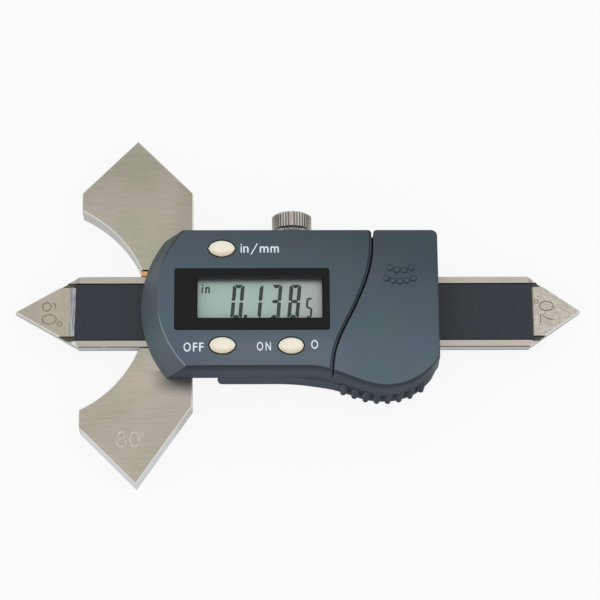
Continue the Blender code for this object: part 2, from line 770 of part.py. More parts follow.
def make_lcd_holder():
    # Tray that locates the glass and the two rubber connectors over the board
    left, right, low, high = LCD
    wall = 1.0
    slot_width = ZEBRA_WIDTH + 2 * FIT
    outer = rectangle(left - wall, right + wall, low - wall + 0.1, high + wall - 0.1, 0.6)
    holder = solid("lcd_holder", prism(outer, BOARD_TOP + FIT, LCD_TOP - 0.2))
    glass = rectangle(left - FIT, right + FIT, low - FIT, high + FIT)
    cut(holder, prism(glass, LCD_BOTTOM - FIT, FACE_Z))
    middle = rectangle(left + wall, right - wall, low + 2.6, high - 2.6)
    cut(holder, prism(middle, 0, FACE_Z))
    for zebra_low in ZEBRA_LOW:
        bottom = zebra_low - FIT
        slot = rectangle(left + wall, right - wall, bottom, bottom + slot_width)
        cut(holder, prism(slot, 0, FACE_Z))
    return holder


def make_zebra_strip(name, low):
    outline = rectangle(LCD[0] + 1.2, LCD[1] - 1.2, low, low + ZEBRA_WIDTH)
    return solid(name, prism(outline, BOARD_TOP + FIT, LCD_BOTTOM - FIT))


def make_circuit_board():
    left, right, low, high = BOARD
    nose = left + 3.0
    outline = [(left, low + 4.9), (nose, low), (right, low),
               (right, high), (nose, high), (left, high - 4.8)]
    board = solid("circuit_board", prism(outline, BOARD_BOTTOM, BOARD_TOP))
    hole = SCREW_RADIUS + 0.45
    for centre in HOUSING_SCREWS:
        cut(board, turned([(hole, 0), (hole, 3)], 20, centre))
    return board


def make_chip_cap():
    # Resin cap over the measuring chip
    foot = BOARD_TOP + FIT
    profile = [(3.4, foot), (3.1, foot + 0.5), (2.2, foot + 1.0), (1.0, foot + 1.2)]
    return solid("chip_cap", turned(profile, 28, CHIP_CENTRE))


def make_button(name):
    button = BUTTONS[name]
    full = button_outline(button)
    x, y = button["centre"]

    def scaled(share):
        return [(x + (px - x) * share, y + (py - y) * share) for px, py in full]

    cap = solid(name, loft([
        at_level(full, BUTTON_FLANGE[0]),
        at_level(full, BUTTON_RIM - 0.12),
        at_level(scaled(0.95), BUTTON_RIM + 0.02),
        at_level(scaled(0.72), BUTTON_TOP - 0.12),
        at_level(scaled(0.38), BUTTON_TOP),
    ]))
    add(cap, prism(button_outline(button, BUTTON_LEDGE), *BUTTON_FLANGE))
    stem = [(1.2, BUTTON_STEM_BOTTOM), (1.2, BUTTON_FLANGE[1] - 0.2)]
    add(cap, turned(stem, 20, (x, y)))
    return cap


def make_snap_dome(name, centre):
    # Metal click dome on the board under a button
    foot = BOARD_TOP + 0.1
    profile = [(2.1, foot), (2.1, foot + 0.2), (1.6, foot + 0.8), (0.7, foot + 1.05)]
    return solid(name, turned(profile, 20, centre))


def make_button_cell():
    # The minus cap is narrower than the can, which rolls in towards it
    can = CELL_RADIUS
    bottom = CELL_BOTTOM
    top = CELL_BOTTOM + CELL_HEIGHT
    profile = [(can - 0.9, bottom), (can - 0.75, bottom + 0.35), (can - 0.25, bottom + 0.4),
               (can, bottom + 0.7), (can, top - 0.25), (can - 0.25, top)]
    return solid("button_cell", turned(profile, 48, CELL_CENTRE))


def make_contact_minus():
    # Leaf on the pocket's floor under the cell
    x, y = CELL_CENTRE
    floor = CELL_BOTTOM - 0.4
    leaf = rectangle(x - 4.2, x + 3.4, y - 1.3, y + 1.3, 0.5)
    return solid("contact_minus", prism(leaf, floor, floor + CONTACT_THICK))


def make_contact_plus():
    # Angle that stands beside the cell in the slot of the pocket's wall
    y = CELL_CENTRE[1]
    near = CELL_CENTRE[0] + CELL_RADIUS + 0.25
    far = near + 1.3
    foot = DECK_Z + 0.15
    profile = [(near, foot), (near, 7.0), (near + CONTACT_THICK, 7.0),
               (near + CONTACT_THICK, foot + CONTACT_THICK), (far, foot + CONTACT_THICK), (far, foot)]
    rings = [[(x, level, z) for x, z in profile] for level in (y - 1.6, y + 1.6)]
    return solid("contact_plus", loft(rings))


def build():
    for leftover in list(bpy.data.objects):
        bpy.data.objects.remove(leftover)

    datum = bpy.data.objects.new("gauge_datum", None)
    bpy.context.scene.collection.objects.link(datum)
    middle_x = (TIP_60_X + TIP_70_X) / 2
    middle_y = (APEX_90[1] + APEX_80[1]) / 2
    datum.location = Vector((-middle_x, -middle_y, FRAME_THICK)) * MM

    steel = make_material("brushed_steel", (0.56, 0.54, 0.50), 0.35, 1.0)
    bright = make_material("bright_steel", (0.62, 0.60, 0.58), 0.25, 1.0)
    bronze = make_material("bronze", (0.60, 0.36, 0.16), 0.35, 1.0)
    slate = make_material("slate_plastic", (0.085, 0.110, 0.135), 0.45)
    ivory = make_material("ivory_plastic", (0.80, 0.76, 0.62), 0.4)
    black = make_material("black_plastic", (0.020, 0.018, 0.020), 0.35)
    film = make_material("scale_film", (0.040, 0.043, 0.050), 0.45)
    clear = make_material("clear_window", (0.85, 0.88, 0.88), 0.05)
    display = make_material("lcd_glass", (0.42, 0.48, 0.44), 0.2)
    white = make_material("white_plastic", (0.75, 0.75, 0.72), 0.5)
    rubber = make_material("zebra_rubber", (0.30, 0.10, 0.12), 0.6)
    board_green = make_material("board_green", (0.02, 0.12, 0.06), 0.4)
    resin = make_material("black_resin", (0.02, 0.02, 0.02), 0.3)

    finish_piece(make_beam(), steel, datum)
    finish_piece(make_scale_strip(), film, datum)
    finish_piece(make_cross_frame(), steel, datum, smooth=True)
    finish_piece(make_gib_strip(), bronze, datum)
    for side, x in zip(("left", "right"), GIB_SCREW_X):
        finish_piece(make_gib_screw("gib_screw_" + side, x), bright, datum, smooth=True)
    finish_piece(make_lock_screw(), bright, datum, smooth=True)
    finish_piece(make_housing(), slate, datum, smooth=True)
    finish_piece(make_battery_cover(), slate, datum, smooth=True)
    finish_piece(make_window_bezel(), black, datum)
    finish_piece(make_display_window(), clear, datum)
    finish_piece(make_lcd_panel(), display, datum)
    finish_piece(make_lcd_holder(), white, datum)
    for side, low in zip(("low", "top"), ZEBRA_LOW):
        finish_piece(make_zebra_strip("zebra_strip_" + side, low), rubber, datum)
    finish_piece(make_circuit_board(), board_green, datum)
    finish_piece(make_chip_cap(), resin, datum, smooth=True)
    for name, button in BUTTONS.items():
        finish_piece(make_button(name), ivory, datum, smooth=True)
        dome = make_snap_dome(name.replace("button", "dome"), button["centre"])
        finish_piece(dome, bright, datum, smooth=True)
    finish_piece(make_button_cell(), bright, datum, smooth=True)
    finish_piece(make_contact_minus(), bright, datum)
    finish_piece(make_contact_plus(), bright, datum)
    for number, (x, y) in enumerate(HOUSING_SCREWS, 1):
        screw = make_housing_screw("housing_screw_" + str(number), x, y)
        finish_piece(screw, bright, datum, smooth=True)


build()
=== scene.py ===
import json
import math

import bmesh
import bpy
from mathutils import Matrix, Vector


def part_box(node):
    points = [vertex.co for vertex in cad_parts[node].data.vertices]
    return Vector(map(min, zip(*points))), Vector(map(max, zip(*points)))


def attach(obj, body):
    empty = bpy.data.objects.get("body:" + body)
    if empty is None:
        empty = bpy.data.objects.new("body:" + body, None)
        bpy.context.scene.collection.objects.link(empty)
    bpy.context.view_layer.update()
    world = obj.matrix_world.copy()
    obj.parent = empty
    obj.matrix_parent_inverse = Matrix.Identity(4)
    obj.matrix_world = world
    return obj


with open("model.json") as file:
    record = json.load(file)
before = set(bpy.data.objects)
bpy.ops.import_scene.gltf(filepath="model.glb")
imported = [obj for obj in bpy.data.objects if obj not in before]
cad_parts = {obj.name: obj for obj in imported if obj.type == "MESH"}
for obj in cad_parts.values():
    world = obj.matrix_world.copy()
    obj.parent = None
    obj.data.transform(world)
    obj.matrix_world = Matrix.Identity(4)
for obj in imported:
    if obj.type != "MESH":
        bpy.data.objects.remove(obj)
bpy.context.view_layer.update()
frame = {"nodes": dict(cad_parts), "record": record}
nodes = frame["nodes"]
print("frame loaded with", len(nodes), "nodes")

mm = 0.001

# The datum lies on the beam's face, on its centre line, 26.3 mm from the 60 degree point
tipToDatum = 26.3
beamLow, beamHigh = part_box("beam")
datum = Vector((beamLow.x + tipToDatum * mm, (beamLow.y + beamHigh.y) / 2, beamHigh.z))


def spot(x, y, z):
    # Millimetres from the datum to metres in the frame
    return datum + Vector((x, y, z)) * mm


def heightOf(node):
    # Top of a node in millimetres above the datum
    return (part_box(node)[1].z - datum.z) / mm


def paint(red, green, blue):
    # A colour picked as 0 to 255, as the linear colour that a shader takes
    linear = []
    for value in (red, green, blue):
        share = value / 255
        linear.append(share / 12.92 if share < 0.04045 else ((share + 0.055) / 1.055) ** 2.4)
    return (*linear, 1.0)


class Wire:
    # One output socket; sums on it add Math nodes

    def __init__(self, graph, socket):
        self.graph = graph
        self.socket = socket

    def __add__(self, other):
        return self.graph.maths("ADD", self, other)

    def __radd__(self, other):
        return self.graph.maths("ADD", other, self)

    def __sub__(self, other):
        return self.graph.maths("SUBTRACT", self, other)

    def __rsub__(self, other):
        return self.graph.maths("SUBTRACT", other, self)

    def __mul__(self, other):
        return self.graph.maths("MULTIPLY", self, other)

    def __rmul__(self, other):
        return self.graph.maths("MULTIPLY", other, self)

    def __truediv__(self, other):
        return self.graph.maths("DIVIDE", self, other)

    def __rtruediv__(self, other):
        return self.graph.maths("DIVIDE", other, self)

    def __neg__(self):
        return self.graph.maths("SUBTRACT", 0, self)

    def __abs__(self):
        return self.graph.maths("ABSOLUTE", self, 0.0)


class Graph:
    # The node tree of a material or of the world

    def __init__(self, owner):
        owner.use_nodes = True
        self.owner = owner
        self.tree = owner.node_tree
        self.shader = self.tree.nodes.get("Principled BSDF")

    def node(self, kind, settings=None, sockets=None, output=0):
        made = self.tree.nodes.new("ShaderNode" + kind)
        for key, value in (settings or {}).items():
            setattr(made, key, value)
        for key, value in (sockets or {}).items():
            self.feed(made, key, value)
        return Wire(self, made.outputs[output])

    def feed(self, made, key, value):
        if isinstance(value, Wire):
            self.tree.links.new(value.socket, made.inputs[key])
        else:
            made.inputs[key].default_value = value

    def set(self, **values):
        # Sockets of the Principled shader, with their spaces left out
        for key, value in values.items():
            for socket in self.shader.inputs:
                if socket.name.replace(" ", "") == key:
                    self.feed(self.shader, socket.name, value)

    def maths(self, operation, first, second):
        return self.node("Math", {"operation": operation}, {0: first, 1: second})

    def larger(self, first, second):
        return self.maths("MAXIMUM", first, second)

    def mix(self, mask, first, second):
        return self.node("Mix", {"data_type": "RGBA"}, {0: mask, 6: first, 7: second}, output=2)

    def over(self, colour, picked, mask):
        # Lays a picked colour over another one where the mask is 1
        return self.mix(mask, colour, paint(*picked))

    def tinted(self, colour, tone):
        return self.node("VectorMath", {"operation": "SCALE"}, {0: colour, "Scale": tone})

    def between(self, value, low, high, newLow=0.0, newHigh=1.0):
        # 0 below low and 1 above high, with a soft step, or the two new values instead
        sockets = {0: value, 1: low, 2: high, 3: newLow, 4: newHigh}
        return self.node("MapRange", {"interpolation_type": "SMOOTHSTEP"}, sockets)

    def until(self, value, low, high):
        # 1 below low and 0 above high
        return self.between(value, low, high, 1.0, 0.0)

    def band(self, value, low, high, soft):
        # 1 between two values, with a soft step at each end
        return self.between(value, low - soft, low) * self.until(value, high, high + soft)

    def noise(self, scale=1.0, stretch=(1.0, 1.0, 1.0), detail=2.0, rough=0.5):
        # Noise over the piece; scale is in waves for a millimetre, and less than 1 in stretch draws it out
        place = self.node("TexCoord", output="Object")
        sizes = tuple(share / mm for share in stretch)
        place = self.node("VectorMath", {"operation": "MULTIPLY"}, {0: place, 1: sizes})
        sockets = {"Vector": place, "Scale": scale, "Detail": detail, "Roughness": rough}
        return self.node("TexNoise", None, sockets)

    def away(self, axis):
        # Distance from the datum along one axis, in millimetres
        place = self.node("TexCoord", output="Object")
        return (self.node("SeparateXYZ", None, {0: place}, output=axis) - datum[axis]) / mm

    def facing(self, axis):
        # 1 where a face looks along an axis of the piece, -1 where it looks the other way
        normal = self.node("TexCoord", output="Normal")
        return self.node("SeparateXYZ", None, {0: normal}, output=axis)

    def sheltered(self, reach):
        # 1 in creases and beside raised detail of the same piece; reach is in millimetres
        settings = {"samples": 8, "only_local": True}
        return 1 - self.node("AmbientOcclusion", settings, {"Distance": reach * mm}, output="AO")

    def edges(self, reach):
        # 1 on edges and corners, 0 on flat places; reach is in millimetres
        soft = self.node("Bevel", {"samples": 6}, {"Radius": reach * mm})
        plain = self.node("NewGeometry", output="Normal")
        match = self.node("VectorMath", {"operation": "DOT_PRODUCT"}, {0: soft, 1: plain}, output="Value")
        return self.between(1 - match, 0.004, 0.07)

    def bump(self, height, depth, strength=1.0):
        sockets = {"Height": height, "Distance": depth * mm, "Strength": strength}
        self.set(Normal=self.node("Bump", None, sockets))


def newFinish(name, colour, roughness, metallic=0.0):
    finish = Graph(bpy.data.materials.new(name))
    finish.set(BaseColor=colour, Roughness=roughness, Metallic=metallic)
    return finish


# Ground steel; colours are picked from 0 to 255, and places are in millimetres from the datum
steel = {
    "face": (164, 158, 144),
    "warm": (170, 159, 151),
    "green": (155, 153, 137),
    "rail": (171, 165, 163),
    "side": (178, 178, 177),
    "workFace": (206, 208, 213),
    "bevel": (238, 236, 231),
    "shade": (112, 110, 106),
    "smudge": (94, 93, 90),
    "glint": (214, 209, 198),
    "speck": (138, 130, 117),
    "rough": (162, 158, 150),
    "roughness": 0.36,
    "line": 0.10,                 # width of a grinding line
    "streak": 0.55,               # width of the broader streaks
    "dimming": 0.115,             # how much darker the painted shade makes the dim places
    "dimTop": (18.0, 34.0),       # Y towards the top wing's tip
    "dimLow": (14.0, 25.0),       # Y towards the low wing's tip, counted downwards
    "dimLeft": (-23.0, -19.0),    # X at the 60 degree point
    "dimEdgeX": (6.0, 11.0),      # right edge of the top wing
    "dimEdgeY": (9.0, 12.0),
    "railY": (6.3, 7.95),
    "roughX": (85.5, 87.5),       # where the rougher 70 degree point begins
    "smudgeX": (2.0, 8.5),
    "smudgeLow": (-19.6, -15.6),
    "smudgeTop": (-13.5, -13.0),
    "workFaceY": (24.0, 27.0),    # the wings' working faces lie beyond this
    "beamSideY": (7.9, 8.2),
    "beamSideZ": (-2.6, -1.2),    # the beam's sides get painted shade below this
}


def groundSteel():
    # Surface ground along X, with painted highlights on its bevels, and dirt and painted shade in its
    # grooves
    finish = newFinish("groundSteel", paint(*steel["face"]), steel["roughness"], 1.0)
    lines = finish.noise(1 / steel["line"], (0.035, 1.0, 1.0), 3.0, 0.6)
    up = abs(finish.facing(2))
    walls = finish.until(up, 0.3, 0.6)
    # Painted highlights on the bevels and on the low side's slopes
    slopeHighlights = finish.band(up, 0.86, 0.94, 0.03) * finish.between(-finish.away(1), 0, 2)
    bevelHighlights = finish.band(up, 0.64, 0.8, 0.03) + slopeHighlights
    colour = steelFace(finish, lines)
    colour = roughPoint(finish, colour)
    colour = shadowedWing(finish, colour)
    colour = steelSides(finish, colour, walls)
    colour = finish.over(colour, steel["bevel"], bevelHighlights * 0.85)
    # Dirt and painted shade in the grooves and along the low edge
    dirtAndShade, dirt = steelGrimeAndShade(finish, walls)
    finish.set(BaseColor=finish.mix(dirtAndShade, colour, dirt), Metallic=1 - dirtAndShade * 0.6)
    finish.set(Roughness=steel["roughness"] + (lines - 0.5) * 0.2 - bevelHighlights * 0.1 + dirtAndShade * 0.2)
    finish.bump(lines, 0.004, 0.6)
    return finish.owner


def steelFace(finish, lines):
    # Fine lines and broader streaks over a slow drift of colour, with painted shade that dims it towards
    # the wings' tips
    streaks = finish.noise(1 / steel["streak"], (0.09, 1.0, 1.0), 2.0)
    clouds = finish.between(finish.noise(0.11, detail=3.0), 0.35, 0.65)
    drift = finish.mix(clouds, paint(*steel["warm"]), paint(*steel["green"]))
    face = finish.mix(0.55, paint(*steel["face"]), drift)
    along = finish.away(0)
    across = finish.away(1)
    # Painted shade towards the wings' tips, the top wing's right edge and the 60 degree point
    dimShade = finish.between(across, *steel["dimTop"])
    dimShade = finish.larger(dimShade, finish.between(-across, *steel["dimLow"]))
    edge = finish.between(along, *steel["dimEdgeX"], 0.0, 1.3)
    dimShade = finish.larger(dimShade, edge * finish.between(across, *steel["dimEdgeY"]))
    dimShade = finish.larger(dimShade, finish.between(along, *steel["dimLeft"], 0.7, 0.0))
    face = finish.tinted(face, 1 + (lines - 0.5) * 0.26 + (streaks - 0.5) * 0.20 - dimShade * steel["dimming"])
    rails = finish.band(abs(across), *steel["railY"], 0.1)
    return finish.over(face, steel["rail"], rails * 0.4)


def roughPoint(finish, face):
    # The 70 degree point is left rougher, with pits and painted glints; the painted glints are sparser
    # elsewhere
    seventy = finish.between(finish.away(0), *steel["roughX"])
    face = finish.over(face, steel["rough"], seventy * 0.4)
    glintHighlights = finish.between(finish.noise(2.4, detail=5.0, rough=0.7), 0.60, 0.74)
    face = finish.over(face, steel["glint"], glintHighlights * 0.25)
    pits = finish.noise(3.4, detail=4.0, rough=0.75)
    face = finish.over(face, steel["glint"], finish.between(pits, 0.50, 0.62) * seventy * 0.55)
    return finish.over(face, steel["speck"], finish.until(pits, 0.36, 0.46) * seventy * 0.7)


def shadowedWing(finish, face):
    # Painted shadow of the housing on the low wing, just below it
    across = finish.away(1)
    smudge = finish.between(across, *steel["smudgeLow"]) * finish.until(across, *steel["smudgeTop"])
    smudge = smudge * finish.between(finish.away(0), *steel["smudgeX"])
    smudge = smudge * finish.between(finish.noise(0.5, (0.35, 1.0, 1.0), 3.0), 0.05, 0.5)
    return finish.over(face, steel["smudge"], smudge * 0.95)


def steelSides(finish, face, walls):
    # Plain sides, paler on the wings' working faces, with painted shade low on the beam's sides
    across = abs(finish.away(1))
    ground = finish.between(across, *steel["workFaceY"])
    side = finish.mix(ground, paint(*steel["side"]), paint(*steel["workFace"]))
    colour = finish.mix(walls * 0.9, face, side)
    # Painted shade low on the beam's sides
    lower = finish.band(across, *steel["beamSideY"], 0.05)
    lower = lower * finish.until(finish.away(2), *steel["beamSideZ"])
    return finish.over(colour, steel["shade"], lower * walls * 0.55)


# Oily dirt and painted shade on the beam: their colours, and where they lie in its grooves and along its
# low edge
grimeAndShade = {
    "left": (78, 70, 54),
    "right": (54, 56, 56),
    "deep": (30, 27, 22),
    "rightFrom": (70, 80),
    "grooveY": (5.5, 6.6),
    "grooveZ": (-1.0, -0.08),
    "edgeY": (-8.05, -7.84),
    "edgeZ": (-0.3, -0.2),
    "cover": 0.88,
}


def steelGrimeAndShade(finish, walls):
    # Where the dirt and painted shade lie, and their colour
    across = finish.away(1)
    depth = finish.away(2)
    grooves = finish.band(depth, *grimeAndShade["grooveZ"], 0.05)
    grooves = grooves * finish.band(abs(across), *grimeAndShade["grooveY"], 0.03)
    edge = finish.band(across, *grimeAndShade["edgeY"], 0.05) * finish.between(depth, *grimeAndShade["edgeZ"])
    seen = finish.between(finish.noise(0.5, (0.5, 1.0, 1.0), 3.0), 0.3, 0.45)
    dirtAndShade = grooves * grimeAndShade["cover"] + edge * seen * grimeAndShade["cover"]
    onRight = finish.between(finish.away(0), *grimeAndShade["rightFrom"])
    dirt = finish.mix(onRight, paint(*grimeAndShade["left"]), paint(*grimeAndShade["right"]))
    # The near-black on the grooves' walls is painted shade
    return dirtAndShade, finish.over(dirt, grimeAndShade["deep"], walls)


def brightSteel():
    # Turned and pressed small parts, with painted shade in their own creases
    finish = newFinish("brightSteel", paint(186, 181, 172), 0.28, 1.0)
    grain = finish.noise(6.0, detail=3.0)
    colour = finish.mix(grain, paint(176, 170, 160), paint(200, 195, 186))
    colour = finish.over(colour, (232, 228, 220), finish.edges(0.08) * 0.5)
    # Painted shade in creases of the piece's own shape
    shade = finish.between(finish.sheltered(0.3), 0.15, 0.75)
    finish.set(BaseColor=finish.over(colour, (66, 61, 54), shade * 0.65))
    finish.set(Roughness=0.24 + grain * 0.14)
    finish.bump(grain, 0.004, 0.5)
    return finish.owner


knurl = {
    "ridge": (178, 173, 166),
    "glint": (210, 207, 201),
    "crown": (140, 133, 125),
    "flute": (132, 122, 108),
    "flank": (112, 106, 97),
    "bevel": (92, 85, 76),
    "neck": (250, 250, 248),
    "neckEnd": (18.3, 18.6),      # Y where the neck ends
    "frontEnd": (19.3, 19.5),     # Y where the head's front and its bevel end
}


def knurledSteel():
    # Lock screw: bright ridges, with painted shade that dulls the flutes and darkens the flanks, the
    # top-facing crown and the head's bevel, and a painted highlight on the neck and head front
    finish = newFinish("knurledSteel", paint(*knurl["ridge"]), 0.3, 1.0)
    grain = finish.noise(5.0, detail=3.0)
    across = finish.away(1)
    up = finish.facing(2)
    colour = finish.mix(grain, paint(*knurl["ridge"]), paint(*knurl["glint"]))
    # Painted shade on the flanks and in the flutes
    shadedFlanks = finish.between(abs(finish.facing(0)), 0.45, 0.85)
    colour = finish.over(colour, knurl["flank"], shadedFlanks * 0.8)
    shadedFlutes = finish.between(finish.sheltered(0.3), 0.1, 0.55)
    colour = finish.over(colour, knurl["flute"], shadedFlutes * 0.7)
    # Painted highlight on the neck and on the head's front
    neck = finish.until(across, *knurl["neckEnd"]) * finish.between(up, 0.35, 0.75)
    front = -finish.facing(1) * finish.until(across, *knurl["frontEnd"])
    neck = finish.larger(neck, finish.between(front, 0.9, 0.97))
    # Painted shadow on the head's bevel
    colour = finish.over(colour, knurl["bevel"], finish.band(front, 0.62, 0.86, 0.05) * 0.7)
    shadedFlanks = shadedFlanks * (1 - neck)
    # Painted shade on the top-facing crown
    crown = finish.between(up, 0.93, 0.985) * (1 - neck)
    colour = finish.over(colour, knurl["crown"], crown * 0.6)
    colour = finish.over(colour, knurl["neck"], neck * 0.95)
    finish.set(BaseColor=colour, Metallic=1 - neck * 0.85 - shadedFlanks * 0.6)
    finish.set(Roughness=0.26 + grain * 0.14 + shadedFlanks * 0.2)
    finish.bump(grain, 0.004, 0.5)
    return finish.owner


def nickel():
    # Plated can of the button cell and its contacts
    finish = newFinish("nickel", paint(196, 192, 184), 0.2, 1.0)
    haze = finish.noise(0.6, detail=4.0)
    finish.set(Roughness=0.14 + haze * 0.2)
    finish.set(BaseColor=finish.mix(haze, paint(186, 181, 172), paint(204, 200, 193)))
    return finish.owner


def bronze():
    # Drawn strip of the gib
    finish = newFinish("drawnBronze", paint(206, 142, 84), 0.34, 1.0)
    lines = finish.noise(9.0, (0.03, 1.0, 1.0), 3.0)
    finish.set(BaseColor=finish.mix(lines, paint(180, 129, 81), paint(216, 170, 124)))
    finish.set(Roughness=0.28 + lines * 0.16)
    finish.bump(lines, 0.004, 0.5)
    return finish.owner


# Moulded housing and its cover; colours are picked from 0 to 255, and places are in millimetres
housing = {
    "face": (75, 89, 98),
    "cool": (73, 86, 99),
    "green": (74, 92, 96),
    "noseFace": (77, 87, 91),
    "pale": (80, 89, 98),
    "wall": (71, 78, 88),
    "ledge": (81, 88, 97),
    "rib": (100, 106, 115),
    "grip": (30, 34, 42),
    "rim": (34, 42, 49),
    "worn": (146, 161, 168),
    "crease": (31, 37, 43),
    "roughness": 0.58,
    "grain": 0.13,            # size of the moulded grain
    "drift": 0.18,            # painted light: how much lighter it is low on the left than high on the right
    "nose": 0.19,             # painted light: how much lighter its nose is, more so at its foot and less in its middle
    "noseFoot": 0.09,
    "noseMiddle": 0.12,
    "lowFace": 0.17,          # painted light: how much lighter the face is below the display
    "shadedEnd": 0.16,        # how much darker its top right is
    "lowFaceY": (5.0, 11.0),  # Y counted downwards
    "lowFaceX": (8.0, 24.0),
    "lowFaceEnd": (42.0, 50.0),
    "tierX": (16.5, 17.5),
    "tierY": (-14.2, -13.6),
    "tierZ": (2.2, 2.6),
    "gripX": (43.5, 46.5),
    "calmX": (16.5, 42.0),    # the straight stretch of the tier has softer painted crease shade above it
    "calmY": (-13.6, -13.0),
    "calmZ": (2.8, 3.6),
    "rimHeight": 0.45,        # how far the painted shade along the upper edge reaches down
    "underRim": 1.5,          # the same on the wall towards the grip
    "underShade": 3.4,        # how far that wall's shade reaches below its line
    "wornHeight": 0.12,
    "wornEnd": (12.0, 13.0),  # X where the painted highlight on the nose's edge ends
}


def slatePlastic():
    # Satin moulding with a fine spark-eroded grain, under painted light and shade
    finish = newFinish("slatePlastic", paint(*housing["face"]), housing["roughness"])
    finish.set(SpecularIORLevel=0.22)
    grain = finish.noise(1 / housing["grain"], detail=2.0, rough=0.6)
    up = finish.facing(2)
    walls = finish.until(up, 0.3, 0.55)
    edge = finish.until(up, 0.86, 0.95)
    gripWall = walls * finish.between(-finish.facing(1), 0.5, 0.9)
    colour = housingFace(finish, grain)
    colour = housingTier(finish, colour, gripWall)
    upperRim = housingRim(finish, edge)
    rims = finish.larger(upperRim, underRim(finish, gripWall))
    # Painted shade along the upper edge and on the wall towards the grip
    colour = finish.over(colour, housing["rim"], rims * (0.85 - gripWall * 0.35))
    colour = finish.over(colour, housing["rim"], gripWall * underShade(finish) * 0.3)
    colour = finish.over(colour, housing["worn"], noseEdgeHighlight(finish, edge) * 0.9)
    finish.set(BaseColor=finish.over(colour, housing["crease"], housingCreaseShade(finish, walls)))
    gloss = rims * (1 - gripWall) * 0.08
    finish.set(Roughness=housing["roughness"] + (grain - 0.5) * 0.25 - gloss + gripWall * 0.38)
    finish.bump(grain, 0.012, 0.45)
    return finish.owner


def housingFace(finish, grain):
    # Slow drift between a cooler and a greener slate, with painted light low on the left, on the nose and
    # below the display, and painted shade on its top right
    along = finish.away(0)
    across = finish.away(1)
    cool = finish.between(finish.noise(0.07, detail=3.0), 0.42, 0.62)
    green = finish.between(finish.noise(0.05, detail=2.0), 0.46, 0.60)
    colour = finish.mix(cool * 0.8, paint(*housing["face"]), paint(*housing["cool"]))
    colour = finish.over(colour, housing["green"], green * 0.8)
    # Painted light and shade by place and by which way the face looks
    drift = finish.between(across + along * 0.25, -6.0, 28.0, 1.0, -1.0)
    shadedEnd = finish.between(across * 1.5 + along * 0.4, 26.0, 42.0)
    nose = finish.between(-finish.facing(0), 0.3, 0.7)
    noseMiddle = finish.band(across, -1.0, 2.0, 4.0)
    noseFoot = finish.between(-across, 4.0, 12.0)
    lowFace = finish.between(-across, *housing["lowFaceY"]) * finish.between(along, *housing["lowFaceX"])
    lowFace = lowFace * finish.between(along, *housing["lowFaceEnd"], 1.0, 0.4)
    tone = drift * housing["drift"] - shadedEnd * housing["shadedEnd"]
    tone = tone + nose * housing["nose"] + lowFace * housing["lowFace"]
    tone = tone + nose * (noseFoot * housing["noseFoot"] - noseMiddle * housing["noseMiddle"])
    colour = finish.over(colour, housing["noseFace"], nose * 0.6)
    colour = finish.over(colour, housing["pale"], lowFace * 0.7)
    return finish.tinted(colour, 1 + (grain - 0.5) * 0.12 + tone)


def housingTier(finish, colour, gripWall):
    # Painted shade on the wall towards the ribbed grip and on the tier below it, with its ledge, painted
    # highlights on its ribs' edges, and a darker grip
    along = finish.away(0)
    tier = finish.until(finish.away(2), *housing["tierZ"])
    tier = tier * finish.until(finish.away(1), *housing["tierY"])
    tier = tier * finish.between(along, *housing["tierX"])
    # Painted shade on the wall towards the grip and on the tier
    colour = finish.over(colour, housing["wall"], finish.larger(gripWall, tier) * 0.85)
    colour = finish.over(colour, housing["ledge"], tier * finish.between(finish.facing(2), 0.5, 0.9))
    # Painted highlights on the ribs' edges
    colour = finish.over(colour, housing["rib"], tier * finish.edges(0.2) * 0.4)
    return finish.over(colour, housing["grip"], tier * finish.between(along, *housing["gripX"]) * 0.3)


def housingRim(finish, edge):
    # Painted shade along the upper edge; it fades down the nose and is weaker along the seam
    left = -finish.facing(0)
    low = -finish.facing(1)
    foot = heightOf("housing") - housing["rimHeight"]
    rim = finish.between(finish.away(2), foot - 0.4, foot) * edge
    rim = rim * (1 - finish.between(left, 0.3, 0.6) * finish.between(low, -0.48, -0.18) * 0.95)
    return rim * finish.between(-left, 0.5, 0.9, 1.0, 0.6)


def underRim(finish, gripWall):
    # The same line, which reaches lower on the wall towards the grip
    foot = heightOf("housing") - housing["underRim"]
    return gripWall * finish.between(finish.away(2), foot - 0.6, foot + 0.2)


def underShade(finish):
    # Painted shade on the wall towards the grip, below its line
    foot = heightOf("housing") - housing["underRim"]
    return finish.between(finish.away(2), foot - housing["underShade"], foot)


def noseEdgeHighlight(finish, edge):
    # Painted highlight along the edges, low on the nose's left side
    height = finish.away(2)
    foot = heightOf("housing") - housing["wornHeight"]
    where = finish.between(-finish.facing(0), 0.25, 0.45) * finish.between(-finish.facing(1), 0.05, 0.25)
    where = where * finish.until(finish.away(0), *housing["wornEnd"])
    thin = finish.between(height, foot - 0.1, foot) * edge
    corner = finish.edges(0.15) * finish.between(height, 0.5, 1.5)
    return where * finish.larger(thin, corner)


def housingCreaseShade(finish, walls):
    # Painted shade in creases and hollows, softer above the straight stretch of the tier
    crease = finish.between(finish.sheltered(0.5), 0.08, 0.55)
    hollowShade = finish.between(finish.sheltered(1.4), 0.15, 0.7) * walls
    calm = finish.band(finish.away(0), *housing["calmX"], 1.0)
    calm = calm * finish.until(finish.away(1), *housing["calmY"])
    calm = calm * finish.until(finish.away(2), *housing["calmZ"])
    return finish.larger(crease * 0.5, hollowShade * 0.9) * (1 - calm * 0.8)


